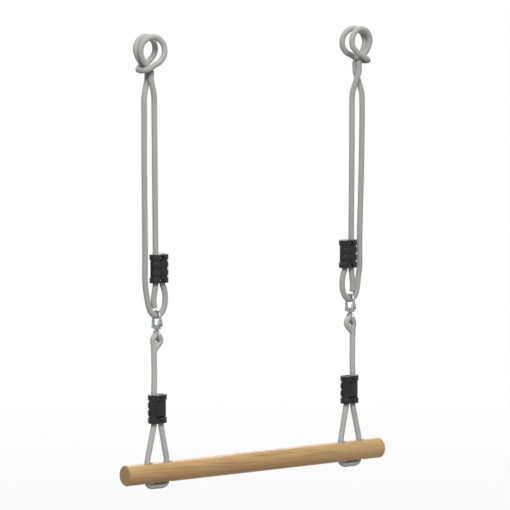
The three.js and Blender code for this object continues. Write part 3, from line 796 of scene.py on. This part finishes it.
def make_wood_material():
    """Hardwood with its grain along the bar: rings, bands, streaks, pores and end grain."""
    n = Nodes("lacquered_hardwood")
    place = n.place()
    parts = n.node("ShaderNodeSeparateXYZ", {0: place}).outputs
    bent = n.noise(n.place((2.6, 14.0, 14.0)), 2.0, 3.0, 0.5)
    wander = n.node("ShaderNodeCombineXYZ", {
        1: n.grey(bent, -0.006, 0.006), 2: n.grey(bent, 0.004, -0.004),
    }).outputs[0]
    core = n.node("ShaderNodeVectorMath", {0: place, 1: wander}, operation="ADD").outputs[0]
    core = n.node("ShaderNodeMapping", {
        "Vector": core, "Location": HEART, "Scale": (0, 1, 1),
    }).outputs[0]
    waves = {"Vector": core, "Scale": 90.0, "Distortion": 1.6, "Detail": 3.0, "Detail Scale": 1.4}
    rings = n.node(
        "ShaderNodeTexWave", waves, wave_type="RINGS", rings_direction="X", wave_profile="SAW",
    ).outputs["Fac"]
    streak = n.noise(n.place((6.0, 430.0, 430.0)), 2.4, 5.0, 0.6, 0.2)
    pores = n.noise(n.place((38.0, 1500.0, 1500.0)), 1.6, 3.0, 0.7)
    broad = n.noise(n.place((3.0, 16.0, 16.0)), 2.0, 3.0)
    lean = {"Vector": place, "Rotation": (0, 0.045, 0.03), "Scale": (0.5, 0.01, 0.01)}
    leaning = n.node("ShaderNodeMapping", lean, vector_type="TEXTURE").outputs[0]
    band = n.noise(leaning, 2.2, 4.0, 0.6, 0.4)
    tone = n.ramp(rings, (0.0, WOOD_EARLY), (0.62, WOOD_MIDDLE), (1.0, WOOD_LATE))
    warm = n.noise(n.place((5.0, 34.0, 34.0)), 1.7, 3.0)
    tone = n.tinted(tone, WOOD_WARM, warm, 0.0, 0.7, 0.43, 0.66)
    tone = n.tinted(tone, WOOD_BAND, band, 0.75, 0.0, 0.38, 0.5)
    tone = n.tinted(tone, WOOD_STREAK, streak, 0.45, 0.0, 0.32, 0.52)
    tone = n.tinted(tone, WOOD_PORE, pores, 0.4, 0.0, 0.3, 0.42)
    tone = n.tinted(tone, WOOD_PALE, broad, 0.0, 0.45, 0.35, 0.7)
    reach = n.math("ABSOLUTE", parts[0])
    end = n.grey(reach, 0.0, 0.7, END_GRAIN_START, END_GRAIN_STOP)
    end_tone = n.ramp(rings, (0.0, WOOD_END_EARLY), (1.0, WOOD_END_LATE))
    tone = n.mix(end, tone, end_tone)
    height = n.math("ADD", n.math("MULTIPLY", streak, 0.5), pores)
    rough = n.grey(streak, 0.4, 0.56)
    return n.set(
        Base_Color=tone, Roughness=rough, Normal=n.bump(height, 0.25, 0.00025), Coat_Weight=0.06,
        Coat_Roughness=0.4, Specular_IOR_Level=0.35,
    )


def painted(obj, slot, body, node):
    """Gives a piece the material of its slot, puts it in its body and hides the solid it replaces.
    """
    obj.data.materials.clear()
    obj.data.materials.append(materials[slot])
    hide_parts(node)
    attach(obj, body)


# Clamps, in millimetres about the middle of a clamp

CORE_RADIUS = 9.2
RIB_RADIUS = 10.7
RIB_HEIGHT = 9.4
RIB_COUNT = 4
RIB_ROUND = 0.9
RIB_FOOT = 0.2
RIB_FOOT_HEIGHT = 0.25
RIB_STEPS = 4
# Mouths of the bores
MOUTH_FLARE = 0.9
MOUTH_DEPTH = 2.0
GROOVE_STEPS = 12
LOBE_STEPS = 16
# Width, height and depth of the panel on the plain half
PANEL = (17.0, 25.0, 10.2)
PANEL_BACK = 2.0
PANEL_ROUND = 0.7
# Screws and their holes
SCREW_INSET = 5.2
SCREW_RADIUS = 1.5
SCREW_GAP = 0.1
SCREW_HEAD_RADIUS = 3.0
SCREW_HEAD_HEIGHT = 2.2
SCREW_SEAT = 3.4
SCREW_LENGTH = 10.0
RECESS_RADIUS = 1.45
RECESS_DEPTH = 1.3
HOLE_BACK = 2.0
HOLE_FRONT = 14.0


def clamp_levels(ribbed):
    """Heights and outline radii up a clamp half, with rounded ribs."""
    half = CLAMP_HEIGHT / 2
    pitch = (CLAMP_HEIGHT - RIB_HEIGHT) / (RIB_COUNT - 1)
    angles = [math.pi / 2 * k / RIB_STEPS for k in range(RIB_STEPS + 1)]
    rim = [(RIB_ROUND * (1 - math.cos(a)), RIB_ROUND * (1 - math.sin(a))) for a in angles]
    levels = []
    for i in range(RIB_COUNT):
        if not ribbed and 0 < i < RIB_COUNT - 1:
            continue
        low = -half + pitch * i
        high = low + RIB_HEIGHT
        if i > 0:
            levels.append((low - RIB_FOOT_HEIGHT, CORE_RADIUS))
            levels.append((low, CORE_RADIUS + RIB_FOOT))
        levels += [(low + rise, RIB_RADIUS - fall) for rise, fall in rim]
        levels += [(high - rise, RIB_RADIUS - fall) for fall, rise in rim]
        if i < RIB_COUNT - 1:
            levels.append((high, CORE_RADIUS + RIB_FOOT))
            levels.append((high + RIB_FOOT_HEIGHT, CORE_RADIUS))
    return levels


def clamp_outline(radius, bore):
    """Half outline at one height: the split face with its two grooves, then the two lobes."""
    left, right = (-BORE_OFFSET, 0), (BORE_OFFSET, 0)
    dip = math.asin(GAP / 2 / bore)
    waist = math.acos(BORE_OFFSET / radius)
    lean = math.asin(GAP / 2 / radius)
    lobe = math.pi - waist - lean
    points = []
    for centre in (left, right):
        points += arc(centre, bore, math.pi + dip, math.pi - 2 * dip, GROOVE_STEPS)
    points += arc(right, radius, -lean, -lobe, LOBE_STEPS)
    return points + arc(left, radius, -waist, -lobe, LOBE_STEPS)[1:]


def clamp_half(name, ribbed):
    """Half of a clamp that faces -Y, about the middle of the clamp."""
    half = CLAMP_HEIGHT / 2
    verts, faces, rings = [], [], []
    for height, radius in clamp_levels(ribbed):
        flare = max(0.0, 1 - (half - abs(height)) / MOUTH_DEPTH)
        bore = ROPE_RADIUS + GAP + MOUTH_FLARE * flare ** 2
        outline = clamp_outline(radius, bore)
        rings.append(range(len(verts), len(verts) + len(outline)))
        verts += [(x, y, height) for x, y in outline]
    for low, high in zip(rings, rings[1:]):
        faces += bridge(low, high)
    faces.append(tuple(rings[0][::-1]))
    faces.append(tuple(rings[-1]))
    obj = mesh_from(name, verts, faces)
    if not ribbed:
        width, height, depth = PANEL
        middle = (0, -(depth + PANEL_BACK) / 2, 0)
        panel = rounded_block(width, depth - PANEL_BACK, height, PANEL_ROUND, middle)
        applied(obj, "BOOLEAN", operation="UNION", solver="EXACT", object=panel)
        bpy.data.objects.remove(panel)
    bore, wide = SCREW_RADIUS + SCREW_GAP, SCREW_HEAD_RADIUS + 2 * GAP
    low, high = -HOLE_BACK, HOLE_FRONT
    seat = [(bore, SCREW_SEAT), (wide, SCREW_SEAT), (wide, high)] if ribbed else [(bore, high)]
    profile = [(0, low), (bore, low), *seat, (0, high)]
    for side in (-1, 1):
        place = (0, 0, side * (half - SCREW_INSET))
        cut(obj, lathe("hole", profile, sides=30, place=place, turn=TURN_TO_FRONT))
    return shade(obj, angle=38)


def clamp_screw(name):
    """Domed screw with a hexagon recess, along Y with its head towards -Y."""
    seat = SCREW_SEAT + GAP
    top = seat + SCREW_HEAD_HEIGHT
    floor = top - RECESS_DEPTH
    profile = [
        (0, top), (1.6, top), (2.25, top - 0.18), (2.7, top - 0.6), (2.95, top - 1.2),
        (SCREW_HEAD_RADIUS, seat + 0.25), (2.8, seat), (SCREW_RADIUS, seat),
        (SCREW_RADIUS, seat - 8.2), (0.5, seat - SCREW_LENGTH), (0, seat - SCREW_LENGTH),
    ]
    screw = lathe(name, profile[::-1], sides=32, turn=TURN_TO_FRONT)
    recess = rod("recess", RECESS_RADIUS, floor, top + 1, sides=6, turn=TURN_TO_FRONT)
    return shade(cut(screw, recess), angle=30)


def copy_of(template, name, matrix):
    """Copy of a template, moved by the matrix."""
    obj = new_object(name, template.data.copy())
    obj.data.transform(matrix)
    return obj


def make_clamps():
    """Both halves and both screws of all four clamps, from three templates."""
    ribbed = clamp_half("ribbed_half", True)
    plain = clamp_half("plain_half", False)
    screw = clamp_screw("screw")
    half_turn = Matrix.Rotation(math.pi, 4, "Z")
    for label, side in SIDES:
        for level, x, top, body, in_front in (
            ("upper", UPPER_CLAMP_X, CLAMP_TOP_Z, "slings", True),
            ("lower", LOWER_CLAMP_X, LOWER_CLAMP_TOP_Z, "trapeze", False),
        ):
            name = f"{level}_clamp_{label}"
            place = shift(side * x, 0, top - CLAMP_HEIGHT / 2)
            if not in_front:
                place = place @ half_turn
            for kind, template, matrix in (
                ("ribbed", ribbed, place), ("plain", plain, place @ half_turn),
            ):
                half = copy_of(template, f"{name}_{kind}_shell", matrix)
                painted(half, "clamp_plastic", body, f"{name}_{kind}_half")
            for end, sign in (("top", 1), ("bottom", -1)):
                rise = shift(0, 0, sign * (CLAMP_HEIGHT / 2 - SCREW_INSET))
                piece = copy_of(screw, f"{name}_{end}_screw", place @ rise)
                painted(piece, "screw_steel", body, f"{name}_screw_{end}")
    for template in (ribbed, plain, screw):
        bpy.data.objects.remove(template)


# Hooks, in millimetres about the middle of the rope that the hook hangs on

WIRE = 2.5
BOW = 10.4
BITE_GAP = 0.2
# Middle of the wire at the top of the bow, which rests on the rope
CROWN_Z = ROPE_RADIUS + GAP + BITE_GAP + WIRE
BASE_TOP = -16.8
BASE_BOTTOM = -22.2
BASE_RADIUS = 5.7
BOW_ROOT = 2.8
ARM_RADIUS = 3.2
NOSE_DROP = 6.0
NOSE_ANGLE = 40.0
NOSE_CUTTER = 12.0
PIVOT_Y = -9.8
PIVOT_Z = BASE_TOP + 1.3
LUG_HALF = 1.2
LUG_RADIUS = 2.7
WEB_RISE = 0.6
SHANK = 2.4
GATE_HALF = 4.0
GATE_SHEET = 0.75
GATE_OUTER = 2.6
GATE_INNER = 1.6
GATE_END = 2.5
RIVET = 1.0
RIVET_GAP = 0.2
SPRING_WIRE = 0.2
COIL_RADIUS = 1.42
COIL_PITCH = 0.82
COIL_TURNS = 1.5
COIL_STEPS = 16
# Heights that the arm of the spring passes through, above the rivet
SPRING_ARM = (2.5, 5.0)
RING_WIRE = 2.25
RING_MEAN = 7.9
RING_Z = -33.25
RING_STEPS = 72
RING_SIDES = 24


def hook_body(name):
    """Bow, base and gate lug, forged in one."""
    arc_z = CROWN_Z - BOW
    bow = [(0, BOW, BASE_BOTTOM + BOW_ROOT), (0, BOW, (BASE_TOP + arc_z) / 2)]
    bow += [(0, y, z) for y, z in arc((0, arc_z), BOW, 0, math.pi, steps=8)]
    bow.append((0, -BOW, -NOSE_DROP - WIRE))
    path, _ = spline(bow, step=0.8)
    wire = swept("bow", path, WIRE, sides=28)
    place = (0, 0, BASE_TOP / 2)
    nose = rounded_block(NOSE_CUTTER, NOSE_CUTTER, -BASE_TOP, fillet=0.1, place=place)
    tilt = Matrix.Rotation(math.radians(NOSE_ANGLE), 4, "X")
    nose.data.transform(shift(0, -BOW, -NOSE_DROP) @ tilt)
    cut(wire, nose)
    outline = arc((0, BOW), ARM_RADIUS, 0, math.pi, steps=16)
    outline += arc((0, PIVOT_Y + LUG_RADIUS), ARM_RADIUS, math.pi, math.pi, steps=16)
    arm = prism("arm", outline, BASE_BOTTOM, BASE_TOP, bevel=0.9)
    hub = lathe("hub", rounded_profile(BASE_RADIUS, BASE_BOTTOM, BASE_TOP, fillet=0.7), sides=48)
    pivot = (0, PIVOT_Y, PIVOT_Z)
    ear = rounded_profile(LUG_RADIUS, -LUG_HALF, LUG_HALF, fillet=0.25)
    lug = lathe("lug", ear, sides=32, place=pivot, turn=TURN_TO_X)
    size = (2 * LUG_HALF, LUG_RADIUS * 1.6, PIVOT_Z - BASE_BOTTOM - WEB_RISE)
    place = (0, PIVOT_Y + LUG_RADIUS * 0.2, (PIVOT_Z + BASE_BOTTOM + WEB_RISE) / 2)
    web = rounded_block(*size, fillet=0.2, place=place)
    body = fused(name, wire, arm, hub, lug, web, voxel=0.34, rounds=5)
    bore = rod("bore", SHANK + GAP, BASE_BOTTOM - 2, BASE_TOP + 2, sides=32)
    pin = rod("pin", RIVET + RIVET_GAP, -3, 3, sides=20, place=pivot, turn=TURN_TO_X)
    return shade(cut(body, bore, pin), angle=50)


def gate(name):
    """Gate folded from sheet, about its rivet, closed against the nose."""
    rise = -NOSE_DROP - PIVOT_Z
    outline = arc((0, 0), GATE_END, math.pi, math.pi, steps=12)
    outline += [
        (GATE_INNER, rise - GATE_INNER), (0, rise),
        (-GATE_OUTER + GATE_SHEET, rise - GATE_INNER), (-GATE_OUTER, rise - GATE_OUTER),
    ]
    block = prism("gate", outline, -GATE_HALF, GATE_HALF, bevel=0.6)
    block.data.transform(TURN_TO_FRONT @ TURN_TO_X)
    inner = GATE_HALF - GATE_SHEET
    depth = GATE_OUTER - GATE_SHEET + GATE_INNER + 2
    height = rise + GATE_END + 2 - GATE_OUTER
    middle_y = (GATE_INNER + 2 - GATE_OUTER + GATE_SHEET) / 2
    middle_z = (rise - GATE_OUTER - GATE_END - 2) / 2
    hollow = rounded_block(2 * inner, depth, height, fillet=0.3, place=(0, middle_y, middle_z))
    size = (2 * inner, 2 * (GATE_END + 2), 2 * GATE_END + 2 + GAP)
    heel = rounded_block(*size, fillet=0.3, place=(0, 0, (GAP - 2) / 2))
    pin = rod("pin", RIVET + RIVET_GAP, -7, 7, sides=20, turn=TURN_TO_X)
    cut(block, hollow, heel, pin)
    block.name = name
    return shade(block, angle=35)


def rivet(name):
    """Gate rivet along X, with a domed head at both ends."""
    half = GATE_HALF + RIVET_GAP
    dome = [
        (0, half + 0.85), (0.7, half + 0.8), (1.35, half + 0.6), (1.75, half + 0.3),
        (1.9, half), (RIVET, half),
    ]
    profile = [(radius, -height) for radius, height in dome] + dome[::-1]
    return shade(lathe(name, profile, sides=28, turn=TURN_TO_X), angle=40)


def gate_spring(name):
    """One and a half turns of wire beside the lug, and an arm up the back of the gate."""
    start = LUG_HALF + SPRING_WIRE + GAP
    points = []
    for i in range(int(COIL_TURNS * COIL_STEPS) + 1):
        angle = 2 * math.pi * i / COIL_STEPS
        x = start + COIL_PITCH * i / COIL_STEPS
        points.append((x, COIL_RADIUS * math.cos(angle), COIL_RADIUS * math.sin(angle)))
    end = start + COIL_PITCH * COIL_TURNS
    points += [(end, -COIL_RADIUS, height) for height in SPRING_ARM]
    path, _ = spline(points, step=0.25)
    return shade(swept(name, path, SPRING_WIRE, sides=10), angle=60)


def swivel_eye(name):
    """Head, shank and collar turned in one with the ring."""
    head, collar = BASE_TOP + GAP, BASE_BOTTOM - GAP
    profile = [
        (0, collar - 2.1), (2.4, collar - 1.9), (3.2, collar - 1.4), (3.75, collar - 0.8),
        (3.8, collar - 0.25), (3.6, collar), (SHANK, collar), (SHANK, head), (3.95, head),
        (4.2, head + 0.3), (4.15, head + 1.1), (3.5, head + 1.9), (2.2, head + 2.3),
        (0, head + 2.4),
    ]
    stem = lathe("stem", profile, sides=40)
    section = arc((RING_MEAN, 0), RING_WIRE, 0, 2 * math.pi, RING_SIDES)[:-1]
    verts, faces = [], []
    for i in range(RING_STEPS):
        angle = 2 * math.pi * i / RING_STEPS
        cos, sin = math.cos(angle), math.sin(angle)
        verts += [(x, reach * cos, RING_Z + reach * sin) for reach, x in section]
        low, high = i * RING_SIDES, (i + 1) % RING_STEPS * RING_SIDES
        faces += bridge(range(low, low + RING_SIDES), range(high, high + RING_SIDES))
    ring = mesh_from("ring", verts, faces)
    return shade(fused(name, stem, ring, voxel=0.32, rounds=4), angle=50)


def make_hooks():
    """Hook, swivel eye, gate, rivet and spring of both sides."""
    for label, side in SIDES:
        hook, leaf = f"hook_{label}", f"gate_{label}"
        place = shift(side * HOOK_X, 0, BITE_Z)
        pivot = shift(side * HOOK_X, PIVOT_Y, BITE_Z + PIVOT_Z)
        for make, name, matrix, slot, body, node in (
            (hook_body, "hook_body", place, "hook_steel", hook, "snap_hook"),
            (swivel_eye, "swivel_ring", place, "hook_steel", "swivel_eyes", "swivel_eye"),
            (gate, "gate_leaf", pivot, "gate_steel", leaf, "hook_gate"),
            (rivet, "rivet", pivot, "screw_steel", hook, "gate_rivet"),
            (gate_spring, "spring", pivot, "screw_steel", leaf, "gate_spring"),
        ):
            piece = make(f"{name}_{label}")
            piece.data.transform(matrix)
            painted(piece, slot, body, f"{node}_{label}")


# Bar

BAR_EDGE = 3.0
BAR_STEPS = 60
HOLE_RADIUS = 5.7
COUNTERSINK = 4.5


def make_bar():
    """Wooden bar with two countersunk holes near each end."""
    half = BAR_LENGTH / 2
    profile = rounded_profile(BAR_RADIUS, -half, half, BAR_EDGE, steps=8)
    split = len(profile) // 2
    straight = BAR_LENGTH - 2 * BAR_EDGE
    middle = [
        (BAR_RADIUS, -half + BAR_EDGE + straight * i / BAR_STEPS) for i in range(1, BAR_STEPS)
    ]
    profile = profile[:split] + middle + profile[split:]
    bar = lathe("wooden_bar", profile, sides=96, turn=TURN_TO_X)
    low, high = BAR_RADIUS - COUNTERSINK, BAR_RADIUS + 2
    wide, lip = HOLE_RADIUS + COUNTERSINK + 2, HOLE_RADIUS + 0.5
    drill = [
        (0, -high), (wide, -high), (lip, -low - 0.4), (HOLE_RADIUS, -low + 0.6),
        (HOLE_RADIUS, low - 0.6), (lip, low + 0.4), (wide, high), (0, high),
    ]
    for side in (-1, 1):
        for hole in (-1, 1):
            x = side * (HOOK_X + hole * LOOP_HOLE_SPACING / 2)
            cut(bar, lathe("drill", drill, sides=48, place=(x, 0, 0)))
    shade(bar, angle=28)
    bar.data.transform(shift(0, 0, BAR_Z))
    painted(bar, "wood", "trapeze", "trapeze_bar")


# Stage and light, in metres and watts

FLOOR_Z = -2.26
FLOOR_RADIUS = 60.0
FLOOR_SIDES = 96
FLOOR_TONE = opaque(0.46, 0.46, 0.46)
# How white the floor looks from near and from far, and between which distances that changes
GLOW = (0.85, 1.0)
GLOW_REACH = (4.0, 12.0)
FILL = 0.27
LIT_POINT = Vector((0, 0, -0.45))
# Name, place, size and power
LAMPS = (
    ("key", (-1.6, -2.6, 2.2), 1.6, 125.0),
    ("top", (0.3, 0.1, 3.0), 2.0, 42.0),
    ("back", (1.8, 2.8, 1.6), 1.8, 60.0),
)


def make_stage():
    """Wide floor that looks nearly white to the camera, and can't be seen from below."""
    rim = arc((0, 0), FLOOR_RADIUS, 0, 2 * math.pi, FLOOR_SIDES)[:-1]
    verts = [(0, 0, FLOOR_Z)] + [(x, y, FLOOR_Z) for x, y in rim]
    faces = [(0, i + 1, (i + 1) % FLOOR_SIDES + 1) for i in range(FLOOR_SIDES)]
    floor = mesh_from("floor", verts, faces, scale=1.0)
    n = Nodes("pale_floor")
    n.set(Base_Color=FLOOR_TONE, Roughness=0.9)
    glow = n.node("ShaderNodeEmission", {"Color": WHITE, "Strength": 1.0}).outputs[0]
    rays = n.node("ShaderNodeLightPath").outputs
    mirrored_rays = n.math("MAXIMUM", rays["Is Glossy Ray"], rays["Is Transmission Ray"])
    seen = n.math("MAXIMUM", rays["Is Camera Ray"], mirrored_rays)
    ground = n.place((1, 1, 0))
    away = n.node("ShaderNodeVectorMath", {0: ground}, operation="LENGTH").outputs["Value"]
    white = n.grey(away, *GLOW, *GLOW_REACH)
    share = n.math("MULTIPLY", seen, white)
    mix = n.node("ShaderNodeMixShader", {0: share, 1: n.shader.outputs[0], 2: glow})
    below = n.node("ShaderNodeNewGeometry").outputs["Backfacing"]
    clear = n.node("ShaderNodeBsdfTransparent")
    one_sided = n.node("ShaderNodeMixShader", {0: below, 1: mix, 2: clear})
    n.feed(n.tree.nodes["Material Output"].inputs["Surface"], one_sided)
    floor.data.materials.append(n.material)


def make_light():
    """White surroundings, weaker as light than as seen, and three soft lamps."""
    world = bpy.data.worlds.new("studio")
    bpy.context.scene.world = world
    world.use_nodes = True
    tree = world.node_tree
    tree.nodes.clear()
    rays = tree.nodes.new("ShaderNodeLightPath").outputs
    seen = rays["Is Camera Ray"]
    for kind in ("Is Glossy Ray", "Is Transmission Ray"):
        either = tree.nodes.new("ShaderNodeMath")
        either.operation = "MAXIMUM"
        tree.links.new(seen, either.inputs[0])
        tree.links.new(rays[kind], either.inputs[1])
        seen = either.outputs[0]
    mix = tree.nodes.new("ShaderNodeMixShader")
    tree.links.new(seen, mix.inputs[0])
    for socket, strength in ((mix.inputs[1], FILL), (mix.inputs[2], 1.0)):
        sky = tree.nodes.new("ShaderNodeBackground")
        sky.inputs["Color"].default_value = WHITE
        sky.inputs["Strength"].default_value = strength
        tree.links.new(sky.outputs[0], socket)
    out = tree.nodes.new("ShaderNodeOutputWorld")
    tree.links.new(mix.outputs[0], out.inputs["Surface"])
    for name, place, size, power in LAMPS:
        data = bpy.data.lights.new(name, "AREA")
        data.shape = "DISK"
        data.size = size
        data.energy = power
        aimed(name, data, place, LIT_POINT)


make_camera()
# The sling's rope is drawn 0.84 as bright as the braid's tones, the bar's rope 1.04 as bright
sling_material = make_rope_material("sling_braided_rope", 0.84)
lower_material = make_rope_material("bar_braided_rope", 1.04)
materials = {
    "clamp_plastic": make_plastic_material(),
    "hook_steel": make_steel_material("galvanised_steel", 0.4, 0.36),
    "gate_steel": make_steel_material("bright_steel", 0.48, 0.3),
    "screw_steel": make_steel_material("plated_steel", 0.5, 0.3),
    "wood": make_wood_material(),
}
for label, side in SIDES:
    make_ropes(label, side)
make_clamps()
make_hooks()
make_bar()
make_stage()
make_light()
bpy.context.scene.view_settings.view_transform = "Standard"
